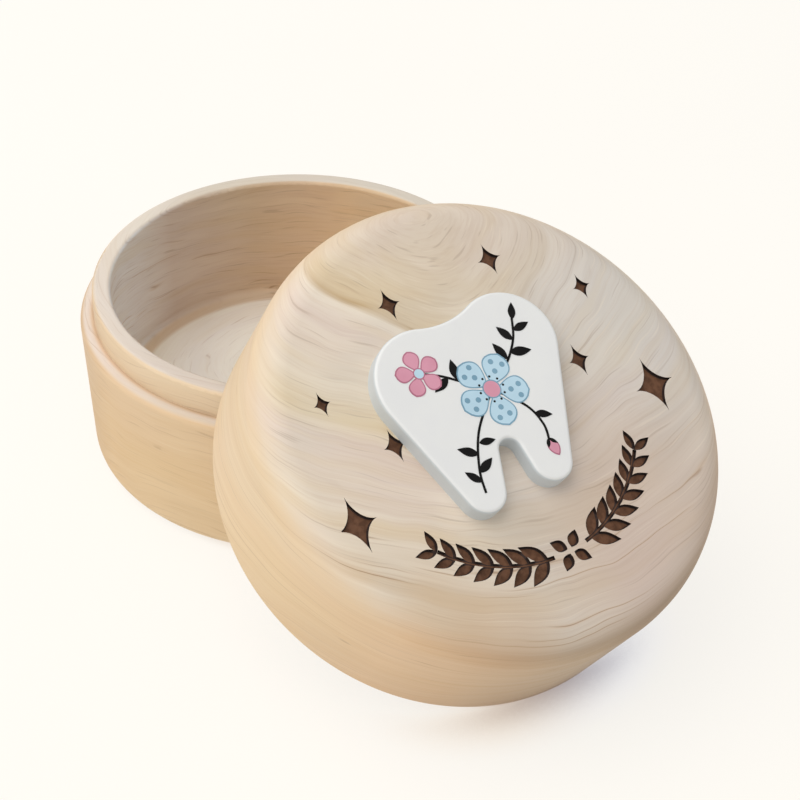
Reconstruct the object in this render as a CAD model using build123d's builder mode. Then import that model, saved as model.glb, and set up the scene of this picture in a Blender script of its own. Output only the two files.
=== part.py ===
from build123d import *
import math
import os

# A turned wooden box for baby teeth: a cup, a lid that fits over the cup's spigot, and a
# tooth-shaped plaque glued to the lid. The lid is off. It leans on the cup's rim, with the low
# edge of its mouth on the table. Lengths are in millimetres.
# The origin is the middle of the cup's foot, +Z is up, and the lid leans towards -Y.

# The closed box
box_diameter = 50.0

# The cup, whose outside steps in over a shoulder to the spigot, and the spigot to the cavity
shoulder_height = 17.8
shoulder_width = 1.6
spigot_height = 3.4
spigot_wall = 2.1
cavity_diameter = box_diameter - 2 * (shoulder_width + spigot_wall)
cup_floor = 4.9
foot_draw = 0.6
foot_round = 2.0
shoulder_round = 0.9
rim_round = 0.5
cavity_round = 1.0

# The lid
lid_height = 17.0
lid_draw = 0.2
lid_hollow_depth = 9.0
lid_face_round = 3.2
mouth_outer_round = 0.5
mouth_inner_round = 0.3
fit_clearance = 0.15
seat_clearance = 0.2

# How far up the mouth the rim meets it, as a share of the lid's radius from its middle
lean_share = 0.638

# The plaque, with its place on the lid's face across and up the slope
tooth_width = 21.1
tooth_height = 20.6
tooth_thickness = 2.0
tooth_edge_round = 0.4
tooth_across = -1.5
tooth_up = 1.1
left_crown_share = 0.275
right_crown_share = 0.252
left_crown_drop_share = 0.039
root_share = 0.106
left_root_share = -0.246
right_root_share = 0.138
right_root_lift_share = 0.017
saddle_round_share = 0.43
crotch_round_share = 0.054

# Radii and heights that follow from the sizes above
box_radius = box_diameter / 2
cavity_radius = cavity_diameter / 2
foot_radius = box_radius - foot_draw
spigot_radius = cavity_radius + spigot_wall
rim_height = shoulder_height + spigot_height
socket_radius = spigot_radius + fit_clearance
socket_depth = spigot_height + seat_clearance
lid_top_radius = box_radius - lid_draw

# The lid's lean, and the height of the middle of its mouth with the mouth's edge on the table
lean = math.asin(rim_height / (box_radius * (1 + lean_share)))
mouth_height = (box_radius - mouth_outer_round) * math.sin(lean)
mouth_height += mouth_outer_round * (1 - math.cos(lean))


def standoff(edge_radius, edge_height):
    """The distance from the cup's axis to the middle of the mouth when the mouth's inner edge
    rests on the cup's edge of this radius and height, at one point on each side."""
    up_slope = (edge_height - mouth_height) / math.sin(lean)
    half_chord = math.sqrt(socket_radius**2 - up_slope**2)
    return up_slope * math.cos(lean) + math.sqrt(edge_radius**2 - half_chord**2)


lid_standoff = max(standoff(spigot_radius, rim_height), standoff(box_radius, shoulder_height))
mouth_centre = Vector(0, -lid_standoff, mouth_height)
lid_axis = Axis(mouth_centre, Vector(0, -math.sin(lean), math.cos(lean)))

# The lid's section has its radius along +X and its height along the lid's axis
lid_section_plane = Plane(
    origin=mouth_centre,
    x_dir=(1, 0, 0),
    z_dir=(0, -math.cos(lean), -math.sin(lean)),
)
lid_face_plane = Plane(
    origin=mouth_centre + lid_axis.direction * lid_height,
    x_dir=(1, 0, 0),
    z_dir=lid_axis.direction,
)


def corner(outline, across, up):
    """The corner of an outline that lies nearest to this place in its sketch."""
    return outline.vertices().sort_by_distance((across, up, 0))[0]


# The cup: a solid floor, a thick wall that draws in to the foot, and a thin spigot on top
with BuildPart() as base:
    with BuildSketch(Plane.XZ) as base_section:
        with BuildLine():
            Polyline(
                (0, 0),
                (foot_radius, 0),
                (box_radius, shoulder_height),
                (spigot_radius, shoulder_height),
                (spigot_radius, rim_height),
                (cavity_radius, rim_height),
                (cavity_radius, cup_floor),
                (0, cup_floor),
                close=True,
            )
        make_face()
        fillet(corner(base_section, foot_radius, 0), foot_round)
        fillet(corner(base_section, box_radius, shoulder_height), shoulder_round)
        fillet(corner(base_section, spigot_radius, rim_height), rim_round)
        fillet(corner(base_section, cavity_radius, rim_height), rim_round)
        fillet(corner(base_section, cavity_radius, cup_floor), cavity_round)
    revolve(axis=Axis.Z)

# The lid: a socket for the spigot, a hollow in line with the cup's cavity, and a soft face edge
with BuildPart() as lid:
    with BuildSketch(lid_section_plane) as lid_section:
        with BuildLine():
            Polyline(
                (0, lid_hollow_depth),
                (cavity_radius, lid_hollow_depth),
                (cavity_radius, socket_depth),
                (socket_radius, socket_depth),
                (socket_radius, 0),
                (box_radius, 0),
                (lid_top_radius, lid_height),
                (0, lid_height),
                close=True,
            )
        make_face()
        fillet(corner(lid_section, cavity_radius, lid_hollow_depth), cavity_round)
        fillet(corner(lid_section, socket_radius, 0), mouth_inner_round)
        fillet(corner(lid_section, box_radius, 0), mouth_outer_round)
        fillet(corner(lid_section, lid_top_radius, lid_height), lid_face_round)
    revolve(axis=lid_axis)

# The plaque: a molar's outline, each half the hull of a crown circle and a root circle, with
# a soft saddle between the crowns and a tight crotch between the roots. The left crown is the
# larger and lower one, and both roots stand a little to the left.
left_crown_radius = tooth_width * left_crown_share
right_crown_radius = tooth_width * right_crown_share
root_radius = tooth_width * root_share
left_crown_centre = (
    left_crown_radius - tooth_width / 2,
    tooth_height / 2 - left_crown_radius - tooth_height * left_crown_drop_share,
)
right_crown_centre = (
    tooth_width / 2 - right_crown_radius,
    tooth_height / 2 - right_crown_radius,
)
left_root_centre = (
    tooth_width * left_root_share,
    root_radius - tooth_height / 2,
)
right_root_centre = (
    tooth_width * right_root_share,
    root_radius - tooth_height / 2 + tooth_height * right_root_lift_share,
)
tooth_plane = lid_face_plane.shift_origin(
    lid_face_plane.from_local_coords((tooth_across, tooth_up, 0))
)
with BuildPart() as tooth_plaque:
    with BuildSketch(tooth_plane) as tooth_outline:
        with BuildLine() as left_half:
            CenterArc(left_crown_centre, left_crown_radius, -90, 360)
            CenterArc(left_root_centre, root_radius, 90, 360)
        make_hull(left_half.edges())
        with BuildLine() as right_half:
            CenterArc(right_crown_centre, right_crown_radius, -90, 360)
            CenterArc(right_root_centre, root_radius, 90, 360)
        make_hull(right_half.edges())
        fillet(corner(tooth_outline, 0, 0), tooth_width * crotch_round_share)
        fillet(corner(tooth_outline, 0, tooth_height / 2), tooth_width * saddle_round_share)
    extrude(amount=tooth_thickness)
    front_face = tooth_plaque.faces().sort_by(lid_axis)[-1]
    fillet(front_face.edges(), tooth_edge_round)

os.makedirs("parts", exist_ok=True)
base.part.label = "base"
export_step(base.part, "parts/base.step")
lid.part.label = "lid"
export_step(lid.part, "parts/lid.step")
tooth_plaque.part.label = "tooth_plaque"
export_step(tooth_plaque.part, "parts/tooth_plaque.step")
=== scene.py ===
import math

import bmesh
import bpy
from mathutils import Matrix, Vector
from mathutils.geometry import delaunay_2d_cdt


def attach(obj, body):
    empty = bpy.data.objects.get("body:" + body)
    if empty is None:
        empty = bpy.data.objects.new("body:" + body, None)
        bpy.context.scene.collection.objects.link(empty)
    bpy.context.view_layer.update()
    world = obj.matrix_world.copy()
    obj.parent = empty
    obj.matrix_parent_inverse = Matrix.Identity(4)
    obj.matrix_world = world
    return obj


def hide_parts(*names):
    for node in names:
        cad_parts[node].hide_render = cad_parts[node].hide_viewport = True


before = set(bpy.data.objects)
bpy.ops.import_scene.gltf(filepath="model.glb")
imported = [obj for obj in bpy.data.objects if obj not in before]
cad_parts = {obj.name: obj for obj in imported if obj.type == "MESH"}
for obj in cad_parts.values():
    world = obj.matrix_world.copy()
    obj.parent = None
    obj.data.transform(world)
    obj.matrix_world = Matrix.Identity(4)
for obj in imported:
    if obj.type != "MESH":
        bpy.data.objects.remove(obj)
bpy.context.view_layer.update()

# Lengths are in millimetres, and MM turns them into the scene's metres.
MM = 0.001

# The closed box, as in the part's source
BOX_RADIUS = 25.0
SHOULDER_WIDTH = 1.6
SPIGOT_WALL = 2.1
SPIGOT_HEIGHT = 3.4
RIM_HEIGHT = 21.2
LEAN_SHARE = 0.638

# The lid
LID_HEIGHT = 17.0
LID_DRAW = 0.2
LID_HOLLOW_DEPTH = 9.0
LID_FACE_ROUND = 3.2
CAVITY_ROUND = 1.0
MOUTH_OUTER_ROUND = 0.5
MOUTH_INNER_ROUND = 0.3
FIT_CLEARANCE = 0.15
SEAT_CLEARANCE = 0.2

# The plaque's middle on the lid's face, across and up the slope, and its thickness
PLAQUE_CENTRE = Vector((-1.5, 1.1))
PLAQUE_THICKNESS = 2.0

CAVITY_RADIUS = BOX_RADIUS - SHOULDER_WIDTH - SPIGOT_WALL
SPIGOT_RADIUS = CAVITY_RADIUS + SPIGOT_WALL
SOCKET_RADIUS = SPIGOT_RADIUS + FIT_CLEARANCE
SOCKET_DEPTH = SPIGOT_HEIGHT + SEAT_CLEARANCE
LID_TOP_RADIUS = BOX_RADIUS - LID_DRAW
FACE_RADIUS = LID_TOP_RADIUS - LID_FACE_ROUND

# The lid's lean, and the middle of its mouth with its inner edge on the cup's rim
LEAN = math.asin(RIM_HEIGHT / (BOX_RADIUS * (1 + LEAN_SHARE)))
MOUTH_HEIGHT = (BOX_RADIUS - MOUTH_OUTER_ROUND) * math.sin(LEAN)
MOUTH_HEIGHT += MOUTH_OUTER_ROUND * (1 - math.cos(LEAN))
RIM_UP_SLOPE = (RIM_HEIGHT - MOUTH_HEIGHT) / math.sin(LEAN)
HALF_CHORD = math.sqrt(SOCKET_RADIUS**2 - RIM_UP_SLOPE**2)
STANDOFF = RIM_UP_SLOPE * math.cos(LEAN) + math.sqrt(SPIGOT_RADIUS**2 - HALF_CHORD**2)
MOUTH_CENTRE = Vector((0, -STANDOFF, MOUTH_HEIGHT))
LID_PLACE = Matrix.Translation(MOUTH_CENTRE * MM) @ Matrix.Rotation(LEAN, 4, "X")

# The camera, at the photograph's angle
CAMERA_AZIMUTH = math.radians(-34.73)
CAMERA_ELEVATION = math.radians(37.67)
CAMERA_ROLL = math.radians(2.09)
CAMERA_DISTANCE = 206.5
CAMERA_TO_RIGHT = 12.255
CAMERA_UP = 2.948
CAMERA_LENS = 75.83
CAMERA_SENSOR = 36.0


def view_axes():
    """The directions to the right, up and back of the camera before its roll."""
    a, e = CAMERA_AZIMUTH, CAMERA_ELEVATION
    right = Vector((math.cos(a), math.sin(a), 0))
    up = Vector((-math.sin(a) * math.sin(e), math.cos(a) * math.sin(e), math.cos(e)))
    return right, up, right.cross(up)


def add_camera():
    right, up, back = view_axes()
    data = bpy.data.cameras.new("photo_camera")
    data.lens = CAMERA_LENS
    data.sensor_width = CAMERA_SENSOR
    data.clip_start = MM
    camera = bpy.data.objects.new("photo_camera", data)
    camera.location = (back * CAMERA_DISTANCE + right * CAMERA_TO_RIGHT + up * CAMERA_UP) * MM
    turned = Matrix((right, up, back)).transposed() @ Matrix.Rotation(CAMERA_ROLL, 3, "Z")
    camera.rotation_euler = turned.to_euler()
    bpy.context.scene.collection.objects.link(camera)
    bpy.context.scene.camera = camera


# The height of a bump that is drawn at full strength
BUMP_HEIGHT = 0.05


class Shader:
    """A node material, built from short calls that each add a node or a few."""

    def __init__(self, name):
        self.material = bpy.data.materials.new(name)
        self.material.use_nodes = True
        self.tree = self.material.node_tree
        self.tree.nodes.clear()

    def add(self, kind, inputs=None, **settings):
        """Adds a node. Each input is a value, or a socket to link from."""
        node = self.tree.nodes.new("ShaderNode" + kind)
        for name, value in settings.items():
            setattr(node, name, value)
        for name, value in (inputs or {}).items():
            if isinstance(value, bpy.types.NodeSocket):
                self.tree.links.new(value, node.inputs[name])
            else:
                node.inputs[name].default_value = value
        return node

    def maths(self, operation, first, second=0.0, third=0.0):
        node = self.add("Math", {0: first, 1: second, 2: third}, operation=operation)
        return node.outputs[0]

    def times(self, first, second):
        return self.maths("MULTIPLY", first, second)

    def vector(self, operation, first, second=(0, 0, 0), output="Vector"):
        node = self.add("VectorMath", {0: first, 1: second}, operation=operation)
        return node.outputs[output]

    def scale(self, vector, factor):
        node = self.add("VectorMath", {0: vector, "Scale": factor}, operation="SCALE")
        return node.outputs["Vector"]

    def height(self, vector):
        """The Z part of a vector."""
        return self.add("SeparateXYZ", {"Vector": vector}).outputs["Z"]

    def point(self, place=None):
        """Where the surface lies in the object, or in a place within it, in millimetres."""
        vector = self.add("TexCoord").outputs["Object"]
        if place is not None:
            shift, turn = place.to_translation(), place.to_euler()
            inputs = {"Vector": vector, "Location": shift, "Rotation": turn}
            vector = self.add("Mapping", inputs, vector_type="TEXTURE").outputs["Vector"]
        return self.scale(vector, 1 / MM)

    def facing(self, place):
        """How far the surface faces along the Z axis of a place, from -1 to 1."""
        inputs = {"Vector": self.add("TexCoord").outputs["Normal"], "Rotation": place.to_euler()}
        return self.height(self.add("Mapping", inputs, vector_type="TEXTURE").outputs["Vector"])

    def noise(self, vector, scale, detail=2.0, roughness=0.5, output="Fac"):
        inputs = {"Vector": vector, "Scale": scale, "Detail": detail, "Roughness": roughness}
        return self.add("TexNoise", inputs).outputs[output]

    def between(self, value, low, high, to_low=0.0, to_high=1.0):
        """Turns the range low to high into to_low to to_high, with soft ends."""
        inputs = {"Value": value, "From Min": low, "From Max": high}
        inputs |= {"To Min": to_low, "To Max": to_high}
        return self.add("MapRange", inputs, interpolation_type="SMOOTHSTEP").outputs["Result"]

    def mix(self, factor, first, second, blend="MIX"):
        """Mixes two colours. The numbers are the node's sockets for a factor and colours."""
        inputs = {0: factor, 6: first, 7: second}
        return self.add("Mix", inputs, data_type="RGBA", blend_type=blend).outputs[2]

    def ramp(self, value, stops):
        """A colour ramp with its stops as pairs of place and colour."""
        node = self.add("ValToRGB", {"Fac": value})
        ramp = node.color_ramp
        while len(ramp.elements) < len(stops):
            ramp.elements.new(1.0)
        for element, (place, colour) in zip(ramp.elements, stops):
            element.position = place
            element.color = colour
        return node.outputs["Color"]

    def bump(self, height, strength):
        inputs = {"Strength": strength, "Distance": BUMP_HEIGHT * MM, "Height": height}
        return self.add("Bump", inputs).outputs["Normal"]

    def finish(self, colour, roughness, **inputs):
        """The surface. A number or colour that is the same all over is set on its own socket."""
        named = {name.replace("_", " "): value for name, value in inputs.items()}
        named |= {"Base Color": colour, "Roughness": roughness}
        surface = self.add("BsdfPrincipled", named)
        self.add("OutputMaterial", {"Surface": surface.outputs["BSDF"]})
        return self.material


def srgb(red, green, blue):
    """A screen colour, from 0 to 255, as the linear colour that nodes take."""
    def linear(value):
        value /= 255
        return value / 12.92 if value <= 0.04045 else ((value + 0.055) / 1.055) ** 2.4
    return (linear(red), linear(green), linear(blue), 1.0)


def plain_ramp(*colours):
    """Evenly spaced stops."""
    return [(i / (len(colours) - 1), colour) for i, colour in enumerate(colours)]


# Wood colours, as they look on the screen in even light
PALE_WOOD = srgb(226, 211, 191)
PINK_WOOD = srgb(224, 206, 192)
GOLD_WOOD = srgb(222, 200, 166)
GREY_WOOD = srgb(213, 203, 188)
TAN_WOOD = srgb(204, 174, 138)
CREAM = srgb(238, 225, 206)
FIBRE = srgb(216, 192, 166)
STREAK = srgb(150, 120, 94)
BROWN_STREAK = srgb(138, 94, 60)

# The growth rings are drawn round a soft core of about this radius
PITH_RADIUS = 4.0

# Slow waves and small ripples that bend the rings, each with its noise scale and its reach
WAVES = (0.05, 3.5)
RIPPLES = (0.2, 0.5)

# How far the surface faces along the axis where it counts as a face, and where as a side
FACE_FACING = 0.99
SIDE_FACING = 0.55

# The soft edge of the hollow, from outside in, as shares of the box's radius
HOLLOW_EDGE = (0.91, 0.89)

# The grain's strength on outer sides, and what inner sides add to it
OUTER_FIGURE = 0.45
INNER_FIGURE = 0.6

# The thin ring lines: how many come in a millimetre of growth, how far they drift, in lines, and
# how strong a line and its soft edge are
LINES_PER_MM = 0.75
LINE_DRIFT = 3.0
LINE_STRENGTH = 0.42
LINE_EDGE_STRENGTH = 0.25


def wood(
    name, place, top, ring_centre, climb, rings, ring_span, tints_and_painted_light, heading, under, lined, figure,
    patches_and_painted_light,
):
    """Turned wood, in the piece's own place. The growth rings run round ring_centre and down
    from the height top, bent by slow waves. Growth adds one for each millimetre outwards and
    climb for each one down. rings gives the colours over a growth of ring_span.
    tints_and_painted_light gives what multiplies them: on faces square to the axis and on sides
    over the radius, the grain's colour with painted shade and a painted highlight at some radii;
    and painted light and shade on such faces and in the hollow over the place along heading, and
    on outer sides over the place along under. lined is the growth over which the thin dark ring
    lines become frequent, with how strong they are before and after it, and figure how strong
    the grain is on faces. Each of patches_and_painted_light is a place, a reach and what
    multiplies the colours there; some are the wood's tone and some painted light and shade."""
    s = Shader(name)
    point = s.point(place)
    radius = s.vector("LENGTH", s.vector("MULTIPLY", point, (1, 1, 0)), output="Value")

    def sway(scale, reach):
        """How noise moves a place, by up to half its reach each way."""
        noise = s.noise(point, scale, 1.0, output="Color")
        return s.scale(s.vector("SUBTRACT", noise, (0.5, 0.5, 0.5)), reach)

    bent = s.vector("ADD", point, s.vector("ADD", sway(*WAVES), sway(*RIPPLES)))
    flat = s.vector("MULTIPLY", s.vector("SUBTRACT", bent, (*ring_centre, 0)), (1, 1, 0))
    flat = s.vector("ADD", flat, (0, 0, PITH_RADIUS))
    outward = s.vector("NORMALIZE", flat)
    fall = s.maths("SUBTRACT", top, s.height(bent))
    growth = s.maths("MULTIPLY_ADD", fall, climb, s.vector("LENGTH", flat, output="Value"))

    def grain(round_rings, across_rings, detail=1.0, roughness=0.5):
        """Noise that follows the rings, with how finely it varies round and across them."""
        rise = s.add("CombineXYZ", {"Z": s.times(growth, across_rings)}).outputs["Vector"]
        spot = s.vector("ADD", s.scale(outward, round_rings), rise)
        return s.noise(spot, 1.0, detail, roughness)

    def share_along(direction):
        """How far along a direction the place is, from 0 to 1 over the box's width."""
        way = s.vector("DOT_PRODUCT", point, (*direction, 0), output="Value")
        return s.maths("MULTIPLY_ADD", way, 0.5 / BOX_RADIUS, 0.5)

    side = s.between(s.maths("ABSOLUTE", s.facing(place)), FACE_FACING, SIDE_FACING)
    outward_share = s.maths("DIVIDE", radius, BOX_RADIUS)
    across_share = share_along(heading)
    hollow = s.between(outward_share, *HOLLOW_EDGE)
    inner_side = s.times(side, hollow)
    face_or_outer = s.between(side, 0.0, 1.0, figure, OUTER_FIGURE)
    strength = s.maths("MULTIPLY_ADD", inner_side, INNER_FIGURE, face_or_outer)

    def stained(colour, pattern, low, high, most, stain, blend="MIX", limit=strength):
        """The colour with a stain on it that comes in where the pattern goes from low to high."""
        amount = s.times(s.between(pattern, low, high, 0, most), limit)
        return s.mix(amount, colour, stain, blend)

    # The rings' colours, plainer on sides and far along heading, with patches and bands
    colour = s.ramp(s.maths("DIVIDE", growth, ring_span), rings)
    plain_across = s.between(across_share, 0.3, 0.55, 0, 0.75)
    plain = s.maths("MAXIMUM", s.times(side, 0.6), plain_across)
    colour = s.mix(plain, colour, PALE_WOOD)
    patches = s.noise(point, 0.07, 1.0)
    colour = stained(colour, patches, 0.50, 0.66, 0.40, PINK_WOOD)
    colour = stained(colour, patches, 0.48, 0.34, 0.35, GREY_WOOD)
    bands = grain(1.3, 0.5)
    colour = stained(colour, bands, 0.52, 0.68, 0.25, GOLD_WOOD)
    colour = stained(colour, bands, 0.48, 0.36, 0.30, CREAM)

    # The tints with the painted light and shade across the view, then the patches, some of them
    # painted light and shade
    outer_painted_shade_slant = s.ramp(share_along(under), tints_and_painted_light["outer sides across"])
    side_painted_light_slant = s.mix(hollow, outer_painted_shade_slant, s.ramp(across_share, tints_and_painted_light["hollow across"]))
    painted_light_slant = s.mix(side, s.ramp(across_share, tints_and_painted_light["faces across"]), side_painted_light_slant)
    face_tint_and_painted_shade = s.ramp(outward_share, tints_and_painted_light["faces"])
    radial_tint_and_painted_light = s.mix(side, face_tint_and_painted_shade, s.ramp(outward_share, tints_and_painted_light["sides"]))
    colour = s.mix(1.0, s.mix(1.0, colour, radial_tint_and_painted_light, "MULTIPLY"), painted_light_slant, "MULTIPLY")
    for centre, reach, patch_multiplier in patches_and_painted_light:
        away = s.vector("DISTANCE", point, centre, output="Value")
        colour = s.mix(s.between(away, reach, 0.3 * reach), colour, patch_multiplier, "MULTIPLY")

    # Fibres, and short dark and pale dashes, of which the pale ones are weak on inner sides
    fibres = grain(3.0, 3.6, 2.0, 0.55)
    colour = stained(colour, fibres, 0.44, 0.68, 0.13, FIBRE, "MULTIPLY")
    dashes = grain(4.0, 5.0, 0.0)
    colour = stained(colour, dashes, 0.68, 0.82, 0.27, STREAK)
    pale_limit = s.maths("MULTIPLY_ADD", inner_side, -0.8, strength)
    colour = stained(colour, dashes, 0.32, 0.20, 0.27, CREAM, limit=pale_limit)

    # The thin ring lines, broken here and there
    drift = s.times(grain(1.5, 0.35), LINE_DRIFT)
    phase = s.maths("PINGPONG", s.maths("MULTIPLY_ADD", growth, LINES_PER_MM, drift), 0.5)
    broken = s.between(grain(2.4, 1.1), 0.5, 0.62)
    amount = s.times(s.times(broken, s.between(growth, *lined)), strength)
    line = s.times(s.between(phase, 0.05, 0.01), amount)
    edge = s.times(s.between(phase, 0.14, 0.05), amount)
    colour = s.mix(s.times(edge, LINE_EDGE_STRENGTH), colour, TAN_WOOD)
    colour = s.mix(s.times(line, LINE_STRENGTH), colour, BROWN_STREAK)

    relief = s.maths("SUBTRACT", s.times(fibres, 0.6), s.times(line, 0.5))
    roughness = s.between(fibres, 0.3, 0.7, 0.5, 0.66)
    return s.finish(colour, roughness, Normal=s.bump(relief, 0.15), Specular_IOR_Level=0.3)


def charred(name, colour, dark_colour):
    """Burnt wood on the floor and walls of the engraving."""
    s = Shader(name)
    soot = s.noise(s.point(), 1.6, 3.0)
    colour = s.mix(s.between(soot, 0.35, 0.7), colour, dark_colour)
    return s.finish(colour, s.between(soot, 0.3, 0.7, 0.6, 0.85), Normal=s.bump(soot, 0.3))


def paint(name, colour, shade, roughness, side=None, shine=0.5):
    """Satin paint with faint mottling and brush texture, and painted shade, a darker colour given
    by side, on the sides of a piece that lies on the lid."""
    s = Shader(name)
    point = s.point()
    mottle = s.noise(point, 0.25, 3.0)
    colour = s.mix(s.between(mottle, 0.35, 0.65), colour, shade)
    # Painted shade on the sides, which turn away from the lid's face
    if side is not None:
        colour = s.mix(s.between(s.facing(LID_PLACE), 0.8, 0.5), colour, side)
    skin = s.noise(point, 0.5, 2.0)
    gloss = s.between(skin, 0.3, 0.7, roughness, roughness + 0.1)
    return s.finish(colour, gloss, Normal=s.bump(skin, 0.04), Specular_IOR_Level=shine)


def rounded_section(corners, support):
    """The points of a section whose corners are (radius, height, rounding). Each rounded corner
    becomes an arc, and each straight run gets a point close to either end to keep it flat."""
    arc_steps = 8
    pieces = []
    for i, (radius, height, rounding) in enumerate(corners):
        here = Vector((radius, height))
        if rounding == 0:
            pieces.append([here])
            continue
        before = (Vector(corners[i - 1][:2]) - here).normalized()
        after = (Vector(corners[i + 1][:2]) - here).normalized()
        half = before.angle(after) / 2
        centre = here + (before + after).normalized() * rounding / math.sin(half)
        start = here + before * rounding / math.tan(half) - centre
        end = here + after * rounding / math.tan(half) - centre
        turn = start.angle(end)
        arc = []
        for step in range(arc_steps + 1):
            t = step / arc_steps
            spoke = start * math.sin((1 - t) * turn) + end * math.sin(t * turn)
            arc.append(centre + spoke / math.sin(turn))
        pieces.append(arc)
    points = []
    for i, piece in enumerate(pieces):
        points += piece
        if i + 1 < len(pieces):
            run = pieces[i + 1][0] - piece[-1]
            if run.length > 3 * support:
                step = run.normalized() * support
                points += [piece[-1] + step, pieces[i + 1][0] - step]
    return points


def lathe(mesh, section, segments):
    """Rings of vertices round Z, one for each point of the section, joined by faces. Returns the
    last ring."""
    previous = None
    for radius, height in section:
        if radius == 0:
            ring = [mesh.verts.new((0, 0, height * MM))]
        else:
            ring = []
            for i in range(segments):
                angle = 2 * math.pi * i / segments
                across, along = radius * math.cos(angle), radius * math.sin(angle)
                ring.append(mesh.verts.new((across * MM, along * MM, height * MM)))
        if previous is not None:
            for i in range(segments):
                j = (i + 1) % segments
                if len(previous) == 1:
                    mesh.faces.new((previous[0], ring[j], ring[i]))
                else:
                    mesh.faces.new((previous[i], previous[j], ring[j], ring[i]))
        previous = ring
    return previous


# The engraving: outlines on the lid's face, in millimetres across and up the slope
ENGRAVING_DEPTH = 0.35
SCORCH_WIDTH = 0.14

# The numbers of the engraving's two materials in the lid's list
BURNT = 1
SCORCHED = 2

# Each star's middle, and its length up the slope and across
STARS = (
    (7.5, 15.4, 3.7, 2.8),
    (15.7, 9.3, 3.0, 2.2),
    (-5.3, 14.3, 3.7, 2.55),
    (-16.7, 7.1, 2.7, 1.85),
    (11.0, 2.1, 3.75, 2.5),
    (-11.9, 0.8, 3.65, 2.6),
    (17.5, -3.2, 6.2, 4.7),
    (-19.1, -4.9, 5.9, 4.1),
)

# How hollow a star's sides are, and how far out their middles lie for that, as a share
STAR_HOLLOWNESS = 1.65
STAR_SIDE_SHARE = 0.32


def towards(angle):
    """The direction at an angle from across towards up the slope."""
    return Vector((math.cos(angle), math.sin(angle)))


def star_outline(across, up, tall, wide):
    """A four-pointed star with hollow sides, and the same star drawn in by the scorched edge."""
    steps = 10
    unit = []
    for quarter in range(4):
        turn = Matrix.Rotation(-quarter * math.pi / 2, 2)
        for step in range(steps):
            t = step / steps
            unit.append(turn @ Vector((t**STAR_HOLLOWNESS, (1 - t) ** STAR_HOLLOWNESS)))
    drawn_in = 1 - SCORCH_WIDTH / (STAR_SIDE_SHARE * math.hypot(tall, wide) / 2)
    outlines = []
    for share in (1, drawn_in):
        outline = []
        for p in unit:
            spot = (across + p.x * share * wide / 2, up + p.y * share * tall / 2)
            outline.append(Vector(spot))
        outlines.append(outline)
    return outlines


def leaf_outline(base, angle, length, width, inset=0.0, lean=0.85, fullness=1.0, steps=10):
    """A leaf or petal from its base along an angle, drawn in by inset. It is widest further out
    for a greater lean, and blunter for a smaller fullness."""
    along = towards(angle)
    across = Vector((-along.y, along.x))
    long = length - 4 * inset * fullness
    wide = width - 2 * inset
    start = base + along * 2 * inset * fullness
    outline = []
    for side in (1, -1):
        for step in range(steps):
            t = step / steps if side == 1 else 1 - step / steps
            bulge = max(0.0, math.sin(math.pi * t**lean)) ** fullness
            outline.append(start + along * long * t + across * side * wide / 2 * bulge)
    return outline


def dot_outline(centre, radius, steps=20):
    return [centre + towards(2 * math.pi * i / steps) * radius for i in range(steps)]


def stem_outline(points, width):
    """A line of even width along a smooth curve through the points."""
    steps = 8
    middle = []
    for i in range(len(points) - 1):
        before = points[max(i - 1, 0)]
        here, after = points[i], points[i + 1]
        last = points[min(i + 2, len(points) - 1)]
        for step in range(steps):
            t = step / steps
            speed_in, speed_out = (after - before) / 2, (last - here) / 2
            middle.append(
                here * (2 * t**3 - 3 * t**2 + 1) + speed_in * (t**3 - 2 * t**2 + t)
                + after * (3 * t**2 - 2 * t**3) + speed_out * (t**3 - t**2)
            )
    middle.append(points[-1])
    left, right = [], []
    for i, point in enumerate(middle):
        run = (middle[min(i + 1, len(middle) - 1)] - middle[max(i - 1, 0)]).normalized()
        side = Vector((-run.y, run.x)) * width / 2
        left.append(point + side)
        right.append(point - side)
    return left + right[::-1]


# A garland of leaves in an arc round the foot of the plaque, in two stems with a gap between
GARLAND_CENTRE = Vector((-1.5, 0.95))
GARLAND_RADIUS = 16.1
GARLAND_MIDDLE = math.radians(273.5)
GARLAND_GAP = math.radians(7)
GARLAND_REACH = math.radians(50)
GARLAND_LEAVES = 7
STEM_WIDTH = 0.42
LEAF_LENGTH = 3.3
LEAF_WIDTH = 1.35
LEAF_SPREAD = math.radians(38)

# Where the first pair of leaves stands, in spaces between pairs, and how much the last one shrinks
FIRST_LEAF = 0.35
LEAF_SHRINK = 0.3

# The flower in the gap
PETAL_START = 0.35
PETAL_LENGTH = 1.9
PETAL_WIDTH = 1.2


def on_garland(turn, radius=GARLAND_RADIUS):
    """A point on the garland, turn being measured from its middle."""
    return GARLAND_CENTRE + towards(GARLAND_MIDDLE + turn) * radius


def stem_turn(side, done, whole):
    """How far a stem has turned from the garland's middle when so much of it is done."""
    return side * (GARLAND_GAP + (GARLAND_REACH - GARLAND_GAP) * done / whole)


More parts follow.
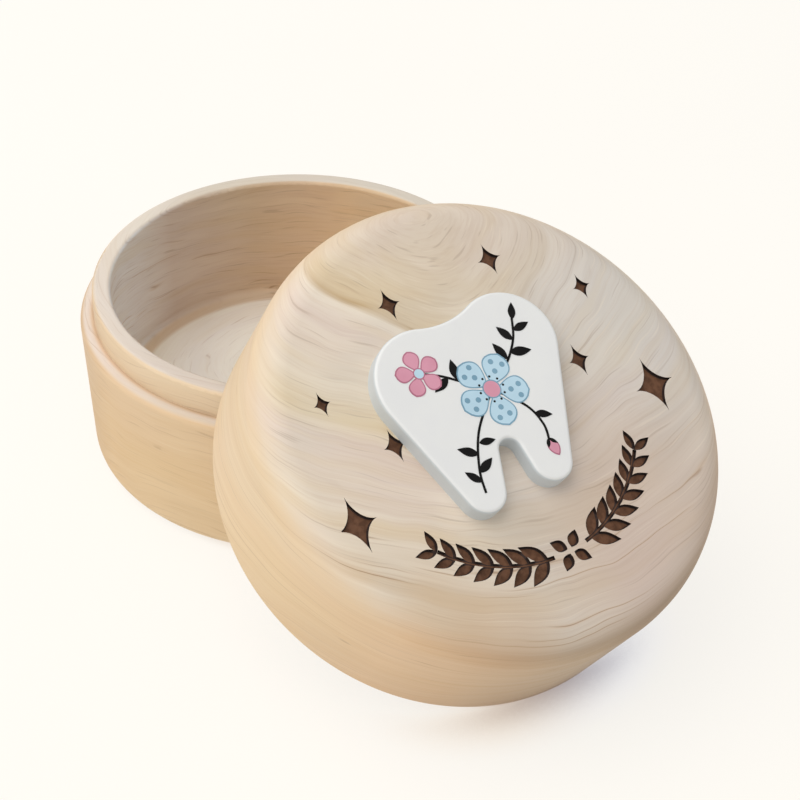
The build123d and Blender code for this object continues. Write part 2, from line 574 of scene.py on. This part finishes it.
def garland():
    """The garland's outlines, in pairs of outline and drawn-in outline."""
    steps = 24
    outlines = []
    for side in (1, -1):
        for inset in (0, SCORCH_WIDTH):
            outer, inner = [], []
            for step in range(steps + 1):
                turn = stem_turn(side, step, steps)
                outer.append(on_garland(turn, GARLAND_RADIUS + STEM_WIDTH / 2 - inset))
                inner.append(on_garland(turn, GARLAND_RADIUS - STEM_WIDTH / 2 + inset))
            outlines.append(outer + inner[::-1])
        for i in range(GARLAND_LEAVES):
            turn = stem_turn(side, i + FIRST_LEAF, GARLAND_LEAVES - 1 + FIRST_LEAF)
            heading = GARLAND_MIDDLE + turn + side * math.pi / 2
            size = 1 - LEAF_SHRINK * i / (GARLAND_LEAVES - 1)
            length, width = LEAF_LENGTH * size, LEAF_WIDTH * size
            for lean in (1, -1):
                angle = heading + lean * LEAF_SPREAD
                for inset in (0, SCORCH_WIDTH):
                    outlines.append(leaf_outline(on_garland(turn), angle, length, width, inset))
    for petal in range(4):
        angle = GARLAND_MIDDLE + math.radians(45 + 90 * petal)
        start = on_garland(0) + towards(angle) * PETAL_START
        for inset in (0, SCORCH_WIDTH):
            outlines.append(leaf_outline(start, angle, PETAL_LENGTH, PETAL_WIDTH, inset))
    return outlines


def inside(point, outline):
    """Whether a point lies in a closed outline."""
    found = False
    for i, a in enumerate(outline):
        b = outline[i - 1]
        if (a.y > point.y) != (b.y > point.y):
            if point.x < (b.x - a.x) * (point.y - a.y) / (b.y - a.y) + a.x:
                found = not found
    return found


def sides_of(loop):
    """The pairs of neighbours in a closed loop."""
    return [(a, loop[(i + 1) % len(loop)]) for i, a in enumerate(loop)]


def triangulated(outlines, rim=()):
    """The flat within closed outlines and a rim as triangles. Returns its corners, the points
    that each corner comes from, rim first, and each triangle with the outlines it lies in."""
    points, edges = [], []
    for outline in (rim, *outlines):
        start = len(points)
        points += outline
        edges += sides_of(range(start, len(points)))
    only_inside, merge_distance = 1, 1e-6
    corners, _, triangles, origins, _, _ = delaunay_2d_cdt(
        points, edges, [], only_inside, merge_distance
    )
    boxes = []
    for outline in outlines:
        xs, ys = [p.x for p in outline], [p.y for p in outline]
        boxes.append((min(xs), max(xs), min(ys), max(ys)))
    placed = []
    for triangle in triangles:
        middle = sum((corners[i] for i in triangle), Vector((0, 0))) / len(triangle)
        hits = [
            k for k, (left, right, low, high) in enumerate(boxes)
            if left < middle.x < right and low < middle.y < high and inside(middle, outlines[k])
        ]
        placed.append((triangle, hits))
    return corners, origins, placed


def engraved_face(mesh, rim, shapes):
    """Closes the lid's face inside a ring of vertices. The shapes, in pairs of outline and
    drawn-in outline, are sunk into it, with the strip between the two scorched darker."""
    rim_points = [Vector((v.co.x, v.co.y)) / MM for v in rim]
    flat, origins, triangles = triangulated(shapes, rim_points)
    height = rim[0].co.z
    upper, lower = {}, {}
    for i, sources in enumerate(origins):
        rim_sources = [source for source in sources if source < len(rim)]
        if rim_sources:
            upper[i] = rim[rim_sources[0]]

    def corner(i, sunk):
        table = lower if sunk else upper
        if i not in table:
            drop = ENGRAVING_DEPTH * MM if sunk else 0
            table[i] = mesh.verts.new((flat[i].x * MM, flat[i].y * MM, height - drop))
        return table[i]

    sunk_sides = {}
    for triangle, hits in triangles:
        face = mesh.faces.new([corner(i, bool(hits)) for i in triangle])
        if hits:
            face.material_index = BURNT if any(k % 2 for k in hits) else SCORCHED
            sunk_sides.update(dict.fromkeys(sides_of(triangle)))
    for a, b in sunk_sides:
        if (b, a) not in sunk_sides:
            ring = (corner(a, True), corner(a, False), corner(b, False), corner(b, True))
            mesh.faces.new(ring).material_index = SCORCHED


def mark_sharp_edges(mesh, angle):
    for face in mesh.faces:
        face.smooth = True
    for edge in mesh.edges:
        if len(edge.link_faces) == 2 and edge.calc_face_angle() > angle:
            edge.smooth = False


def add_object(name, mesh, materials, body, place):
    """Turns a bmesh into an object that rides on a body, with its place in its mesh."""
    mesh.transform(place)
    data = bpy.data.meshes.new(name)
    mesh.to_mesh(data)
    mesh.free()
    for material in materials:
        data.materials.append(material)
    piece = bpy.data.objects.new(name, data)
    bpy.context.scene.collection.objects.link(piece)
    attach(piece, body)
    return piece


def add_lid(materials):
    """The lid's shell, with the engraving sunk into its face."""
    support = 0.15
    section = rounded_section(
        [
            (0, LID_HOLLOW_DEPTH, 0),
            (CAVITY_RADIUS, LID_HOLLOW_DEPTH, CAVITY_ROUND),
            (CAVITY_RADIUS, SOCKET_DEPTH, 0),
            (SOCKET_RADIUS, SOCKET_DEPTH, 0),
            (SOCKET_RADIUS, 0, MOUTH_INNER_ROUND),
            (BOX_RADIUS, 0, MOUTH_OUTER_ROUND),
            (LID_TOP_RADIUS, LID_HEIGHT, LID_FACE_ROUND),
            (FACE_RADIUS - support, LID_HEIGHT, 0),
        ],
        support,
    )
    mesh = bmesh.new()
    rim = lathe(mesh, section, segments=256)
    shapes = [outline for star in STARS for outline in star_outline(*star)] + garland()
    engraved_face(mesh, rim, shapes)
    bmesh.ops.recalc_face_normals(mesh, faces=mesh.faces)
    mark_sharp_edges(mesh, math.radians(30))
    lid = add_object("lid_shell", mesh, materials, "lid", LID_PLACE)
    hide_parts("lid")


# The print on the plaque: a spray of flowers, in millimetres from the plaque's middle, with the
# inks numbered as in PRINT_INKS
BLUE, BLUE_LINE, PINK, PINK_LINE, BLACK = range(5)
PRINT_THICKNESS = 0.04

# The width of a flower's outline, of a stem, and of a leaf as a share of its length
FLOWER_LINE = 0.13
STALK_WIDTH = 0.24
SPRAY_LEAF_SHARE = 0.42

# The middles of the two flowers, and where the bud hangs, with its angle
BIG_FLOWER = Vector((0.7, 0.9))
SMALL_FLOWER = Vector((-5.6, 4.9))
BUD = Vector((3.6, -5.7))
BUD_ANGLE = math.radians(-84)

# The points that each stem runs through
STALKS = (
    ((-5.3, -8.3), (-4.7, -5.9), (-2.8, -2.5), BIG_FLOWER),
    (BIG_FLOWER, (3.7, 2.9), (5.6, 4.9), (6.6, 6.9)),
    (BIG_FLOWER, (-1.9, 2.7), (-3.6, 3.9), SMALL_FLOWER),
    (BIG_FLOWER, (3.2, -1.9), (3.9, -4.2), (3.6, -5.9)),
)

# Each leaf's base, its angle in degrees and its length
SPRAY_LEAVES = (
    (-5.1, -7.2, 128, 1.9), (-4.8, -6.3, 26, 2.1), (-4.0, -4.6, 146, 2.2), (-3.4, -3.6, 352, 1.8),
    (3.9, 3.1, 108, 2.2), (4.5, 3.7, -12, 2.4), (5.5, 4.8, 118, 2.1), (6.1, 5.7, 8, 2.0),
    (6.6, 6.8, 64, 1.9), (-2.2, 3.0, 80, 2.2), (-3.0, 3.5, 204, 2.2), (3.6, -2.9, -24, 1.9),
)


def flower(centre, turn, radius, petal_width, fill, line, core, dots):
    """Five petals with a thin outline round a core. Each petal's dots are given by their distance
    from the centre, as a share of the radius, and their angle from the petal's middle."""
    shapes = []
    angles = [turn + petal * 2 * math.pi / 5 for petal in range(5)]
    start = 0.12 * radius
    for inset, ink in ((0, line), (FLOWER_LINE, fill)):
        for angle in angles:
            base = centre + towards(angle) * start
            petal = leaf_outline(
                base, angle, radius - start, petal_width, inset, lean=1.4, fullness=0.62, steps=14
            )
            shapes.append((petal, ink))
    for angle in angles:
        for away, swing in dots:
            middle = centre + towards(angle + swing) * away * radius
            shapes.append((dot_outline(middle, 0.075 * radius, steps=10), line))
    core_radius = 0.25 * radius
    shapes.append((dot_outline(centre, core_radius), line))
    shapes.append((dot_outline(centre, core_radius - FLOWER_LINE), core))
    return shapes


def spray():
    """The outlines of the print and their inks. A later one covers an earlier one."""
    shapes = []
    for stalk in STALKS:
        shapes.append((stem_outline([Vector(point) for point in stalk], STALK_WIDTH), BLACK))
    for across, up, degrees, length in SPRAY_LEAVES:
        base, angle = Vector((across, up)), math.radians(degrees)
        shapes.append((leaf_outline(base, angle, length, SPRAY_LEAF_SHARE * length), BLACK))
    for inset, ink in ((0, PINK_LINE), (0.12, PINK)):
        petal = leaf_outline(BUD, BUD_ANGLE, 2.0, 1.25, inset, lean=0.9, fullness=0.75)
        shapes.append((petal, ink))
    for degrees in (-50, -118):
        shapes.append((leaf_outline(BUD, math.radians(degrees), 1.1, 0.4), BLACK))
    shapes += flower(
        SMALL_FLOWER, turn=0.35, radius=2.5, petal_width=1.75,
        fill=PINK, line=PINK_LINE, core=BLUE, dots=(),
    )
    shapes += flower(
        BIG_FLOWER, turn=0.9, radius=4.0, petal_width=2.95,
        fill=BLUE, line=BLUE_LINE, core=PINK, dots=((0.5, 0.0), (0.73, 0.2), (0.76, -0.2)),
    )
    for spot in dot_outline(BIG_FLOWER, 1.32, steps=10):
        shapes.append((dot_outline(spot, 0.13, steps=10), BLACK))
    return shapes


def add_print(materials):
    """The print, a thin layer of ink on the plaque's face."""
    shapes = spray()
    flat, _, triangles = triangulated([outline for outline, _ in shapes])
    mesh = bmesh.new()
    upper, lower = {}, {}

    def corner(i, raised):
        table = upper if raised else lower
        if i not in table:
            height = LID_HEIGHT + PLAQUE_THICKNESS + (PRINT_THICKNESS if raised else 0)
            table[i] = mesh.verts.new(Vector((*(flat[i] + PLAQUE_CENTRE), height)) * MM)
        return table[i]

    sides = {}
    for triangle, hits in triangles:
        if hits:
            ink = shapes[hits[-1]][1]
            mesh.faces.new([corner(i, True) for i in triangle]).material_index = ink
            sides.update(dict.fromkeys(sides_of(triangle), ink))
    for (a, b), ink in sides.items():
        if (b, a) not in sides:
            ring = (corner(b, True), corner(a, True), corner(a, False), corner(b, False))
            mesh.faces.new(ring).material_index = ink
    piece = add_object("plaque_print", mesh, materials, "lid", LID_PLACE)


# The lamp: its direction along the camera's right and up and straight up, and its own numbers
LAMP_TO_RIGHT = -0.4
LAMP_UP = -0.2
LAMP_OVERHEAD = Vector((0, 0, 0.9))
LAMP_DISTANCE = 600.0
LAMP_SIZE = 800.0
LAMP_POWER = 2.8
LAMP_COLOUR = (1.0, 0.98, 0.95)


def add_lamp():
    """A soft light that shines at the middle of the object from above."""
    right, up, _ = view_axes()
    direction = right * LAMP_TO_RIGHT + up * LAMP_UP + LAMP_OVERHEAD
    data = bpy.data.lights.new("key", "AREA")
    data.shape = "DISK"
    data.size = LAMP_SIZE * MM
    data.energy = LAMP_POWER
    data.color = LAMP_COLOUR
    light = bpy.data.objects.new("key", data)
    light.location = direction.normalized() * (LAMP_DISTANCE * MM)
    light.rotation_euler = direction.to_track_quat("Z", "Y").to_euler()
    bpy.context.scene.collection.objects.link(light)


# The floor's own two tones, and the glow that keeps it pale. The glow also paints the floor's
# shadow: in deep shade and at its edge, warm with painted bounce light from the wood on the one
# side and cool on the other, and even in the open
FLOOR_TONES = ((0.185, 0.16, 0.12, 1), (0.20, 0.175, 0.135, 1))
WARM_SHADE = (0.41, 0.33, 0.28, 1)
COOL_SHADE = (0.30, 0.31, 0.38, 1)
WARM_EDGE = (0.735, 0.675, 0.61, 1)
COOL_EDGE = (0.74, 0.75, 0.78, 1)
OPEN_GLOW = (0.80, 0.795, 0.775, 1)

# The floor's radius, how far from the object the painted shadow reaches, and where to the camera's
# right the painted shadow sets in and turns cool
FLOOR_RADIUS = 6000.0
SHADE_REACH = 8.0
SHADE_SETS_IN = (-26.0, 12.0)
SHADE_TURNS_COOL = (22.0, 38.0)


def add_floor():
    mesh = bmesh.new()
    bmesh.ops.create_circle(mesh, cap_ends=True, radius=FLOOR_RADIUS * MM, segments=64)
    data = bpy.data.meshes.new("floor")
    mesh.to_mesh(data)
    mesh.free()
    s = Shader("pale_floor")
    point = s.point()
    tone = s.mix(s.noise(point, 0.02, 1.0), *FLOOR_TONES)
    # Painted shadow: the glow dims where an occlusion node finds the object close, and fades out
    # to the camera's left
    shading = s.add("AmbientOcclusion", {"Distance": SHADE_REACH * MM}, samples=12)
    to_right = s.vector("DOT_PRODUCT", point, view_axes()[0], output="Value")
    painted_shadow_share = s.maths("SUBTRACT", 1.0, shading.outputs["AO"])
    painted_shadow_share = s.times(painted_shadow_share, s.between(to_right, *SHADE_SETS_IN))
    open_share = s.maths("SUBTRACT", 1.0, painted_shadow_share)
    cool = s.between(to_right, *SHADE_TURNS_COOL)
    dark = s.mix(cool, WARM_SHADE, COOL_SHADE)
    middle = s.mix(cool, WARM_EDGE, COOL_EDGE)
    glow = s.mix(s.between(open_share, 0.26, 0.55), dark, middle)
    glow = s.mix(s.between(open_share, 0.45, 0.80), glow, OPEN_GLOW)
    data.materials.append(s.finish(tone, 0.9, Emission_Color=glow, Emission_Strength=1.0))
    floor = bpy.data.objects.new("floor", data)
    bpy.context.scene.collection.objects.link(floor)


# The studio's light at the horizon, and high up, from where it is even
HORIZON_LIGHT = (0.34, 0.34, 0.34, 1)
HIGH_LIGHT = (0.60, 0.61, 0.62, 1)
HIGH_FROM = 0.9


def add_surroundings():
    """A soft studio round the object: brightest overhead and dimmer near the horizon."""
    world = bpy.data.worlds.new("studio")
    bpy.context.scene.world = world
    world.use_nodes = True
    nodes, links = world.node_tree.nodes, world.node_tree.links
    place = nodes.new("ShaderNodeTexCoord")
    parts = nodes.new("ShaderNodeSeparateXYZ")
    ramp = nodes.new("ShaderNodeValToRGB")
    links.new(place.outputs["Generated"], parts.inputs["Vector"])
    links.new(parts.outputs["Z"], ramp.inputs["Fac"])
    links.new(ramp.outputs["Color"], nodes["Background"].inputs["Color"])
    low, high = ramp.color_ramp.elements
    low.position, low.color = 0.0, HORIZON_LIGHT
    high.position, high.color = HIGH_FROM, HIGH_LIGHT


add_camera()
add_floor()
add_surroundings()
add_lamp()
bpy.context.scene.view_settings.view_transform = "Standard"

# What multiplies the wood's colours, on faces and sides at shares of the box's radius, and across
# at shares of the box's width. On the cup's faces the stops from 0.795 to 0.845 paint shade in a
# ring round its floor, and those from 0.938 to 0.948 a painted shadow line at the spigot's foot.
# The first stop makes the hollow's floor paler and greyer, partly as end grain and partly as
# painted light.
CUP_TINTS_AND_PAINTED_LIGHT = {
    "faces": [
        (0.770, (1.13, 1.27, 1.36, 1)),
        (0.795, (0.90, 0.86, 0.78, 1)),
        (0.845, (0.87, 0.82, 0.73, 1)),
        (0.860, (0.91, 0.95, 1.00, 1)),
        (0.934, (0.91, 0.95, 1.00, 1)),
        (0.938, (0.70, 0.58, 0.42, 1)),
        (0.948, (0.86, 0.80, 0.70, 1)),
        (0.958, (0.91, 0.95, 0.98, 1)),
    ],
    "sides": [
        (0.870, (1.02, 0.98, 0.92, 1)),
        (0.910, (1.06, 0.98, 0.84, 1)),
        (0.950, (1.06, 0.98, 0.84, 1)),
        (0.975, (1.00, 0.86, 0.66, 1)),
        (0.995, (1.02, 0.90, 0.73, 1)),
    ],
    # Painted light on the cup's faces towards the camera's left
    "faces across": [
        (0.08, (1.13, 1.13, 1.14, 1)),
        (0.25, (1.00, 1.00, 1.00, 1)),
    ],
    # Painted shade on the cup's outer wall at its far left edge
    "outer sides across": [
        (0.02, (0.85, 0.81, 0.77, 1)),
        (0.10, (0.98, 0.96, 0.92, 1)),
        (0.20, (1.00, 1.00, 0.98, 1)),
    ],
    # Painted light and shade across the hollow: cooler and paler at the far left, darker in
    # between and golden towards the right
    "hollow across": [
        (0.08, (1.06, 1.31, 1.75, 1)),
        (0.17, (0.85, 0.89, 1.01, 1)),
        (0.36, (0.87, 0.82, 0.76, 1)),
        (0.58, (1.01, 0.89, 0.75, 1)),
    ],
}
LID_FACE_TINT = (1.03, 1.04, 1.06, 1)
NO_TINT = (1.0, 1.0, 1.0, 1)
LID_TINTS_AND_PAINTED_LIGHT = {
    "faces": plain_ramp(LID_FACE_TINT, LID_FACE_TINT),
    # On the lid's sides: warmer than the face, partly as side grain and partly as painted warm
    # light, with the paler stop on the rounding a painted highlight
    "sides": [
        (0.87, (1.02, 0.98, 0.92, 1)),
        (0.92, (1.06, 0.98, 0.88, 1)),
        (0.96, (1.05, 1.01, 0.94, 1)),
        (0.99, (1.06, 0.97, 0.82, 1)),
    ],
    # Painted shade on the lid's face, darker towards the camera's right
    "faces across": [
        (0.12, (1.02, 1.02, 1.00, 1)),
        (0.34, (0.99, 0.98, 0.97, 1)),
        (0.56, (0.91, 0.92, 0.95, 1)),
        (0.88, (0.88, 0.89, 0.93, 1)),
    ],
    # Painted shade on the lid's outer side, darkest at its lower right
    "outer sides across": [
        (0.20, (0.97, 0.97, 0.98, 1)),
        (0.45, (1.02, 1.01, 0.99, 1)),
        (0.59, (1.00, 0.97, 0.95, 1)),
        (0.71, (0.98, 0.92, 0.90, 1)),
        (0.82, (0.86, 0.80, 0.78, 1)),
        (0.91, (0.70, 0.66, 0.66, 1)),
        (0.97, (0.60, 0.585, 0.60, 1)),
        (1.00, (0.48, 0.465, 0.475, 1)),
    ],
    "hollow across": plain_ramp(NO_TINT, NO_TINT),
}

# Ring colours, at shares of the growth that they are spread over
LID_RING_SPAN = 80.0
LID_RINGS = [
    (0.0000, PINK_WOOD),
    (0.0750, PALE_WOOD),
    (0.1500, srgb(224, 206, 178)),
    (0.1970, srgb(217, 195, 161)),
    (0.2020, srgb(202, 175, 136)),
    (0.2065, srgb(198, 170, 130)),
    (0.2085, CREAM),
    (0.2350, PINK_WOOD),
    (0.3000, PALE_WOOD),
    (0.3500, srgb(223, 204, 172)),
    (0.3750, PINK_WOOD),
    (0.4580, PALE_WOOD),
    (0.4690, srgb(223, 204, 176)),
    (0.4950, PALE_WOOD),
    (0.5510, srgb(214, 192, 164)),
    (0.5590, PALE_WOOD),
    (0.6000, PALE_WOOD),
    (0.6600, srgb(224, 200, 168)),
    (0.7500, GOLD_WOOD),
    (0.9000, srgb(214, 188, 154)),
    (1.0000, TAN_WOOD),
]
CUP_RING_SPAN = 50.0
CUP_RINGS = plain_ramp(PALE_WOOD, GOLD_WOOD, PALE_WOOD, PINK_WOOD, GOLD_WOOD, PALE_WOOD)

# Paler and darker patches of the lid, some of them painted light and shade: place, reach and what
# multiplies the colours
LID_PATCHES_AND_PAINTED_LIGHT = [
    ((17.0, 4.0, LID_HEIGHT), 14.0, (1.02, 1.06, 1.11, 1)),
    # Painted shade on the lower right of the face
    ((9.0, -17.0, LID_HEIGHT), 18.0, (0.95, 0.89, 0.87, 1)),
    ((2.0, 20.0, LID_HEIGHT), 9.0, (0.95, 0.94, 0.94, 1)),
    # Painted light over the plaque's shadow, by its foot (this one and the next)
    ((-6.7, -7.0, LID_HEIGHT), 6.0, (1.13, 1.14, 1.16, 1)),
    ((1.4, -6.6, LID_HEIGHT), 6.0, (1.13, 1.14, 1.16, 1)),
    ((-16.5, -16.5, 19.5), 7.5, (0.95, 0.86, 0.75, 1)),
    ((-11.0, -20.8, 19.5), 8.0, (0.93, 0.84, 0.74, 1)),
]
lid_wood = wood(
    "lid_wood",
    place=LID_PLACE,
    top=LID_HEIGHT,
    ring_centre=(2.33, 25.4),
    climb=1.8,
    rings=LID_RINGS,
    ring_span=LID_RING_SPAN,
    tints_and_painted_light=LID_TINTS_AND_PAINTED_LIGHT,
    heading=(0.86, -0.51),
    under=(0.26, -0.97),
    lined=(34, 42, 0.12, 1.25),
    figure=1.0,
    patches_and_painted_light=LID_PATCHES_AND_PAINTED_LIGHT,
)
cup_wood = wood(
    "cup_wood",
    place=Matrix(),
    top=RIM_HEIGHT,
    ring_centre=(2.0, 3.5),
    climb=1.0,
    rings=CUP_RINGS,
    ring_span=CUP_RING_SPAN,
    tints_and_painted_light=CUP_TINTS_AND_PAINTED_LIGHT,
    heading=(0.82, -0.57),
    under=(0.82, -0.57),
    lined=(20, 32, 0.3, 1.15),
    figure=0.5,
    patches_and_painted_light=[],
)
burnt = charred("burnt_wood", srgb(108, 69, 42), srgb(85, 53, 31))
scorched = charred("scorched_edge", srgb(52, 32, 24), srgb(34, 20, 15))
# The plaque's sides take painted shade, a darker bluish grey
white_paint = paint(
    "white_paint", srgb(237, 237, 235), srgb(235, 235, 234), 0.45, side=srgb(205, 211, 214)
)
PRINT_INKS = [
    paint("blue_ink", srgb(193, 222, 237), srgb(186, 216, 232), 0.4),
    paint("blue_line_ink", srgb(128, 168, 190), srgb(118, 158, 180), 0.4),
    paint("pink_ink", srgb(222, 156, 176), srgb(216, 148, 168), 0.4),
    paint("pink_line_ink", srgb(186, 116, 138), srgb(178, 108, 130), 0.4),
    paint("black_ink", srgb(12, 11, 11), srgb(22, 20, 20), 0.5, shine=0.15),
]

add_lid([lid_wood, burnt, scorched])
add_print(PRINT_INKS)
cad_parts["base"].data.materials[0] = cup_wood
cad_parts["tooth_plaque"].data.materials[0] = white_paint
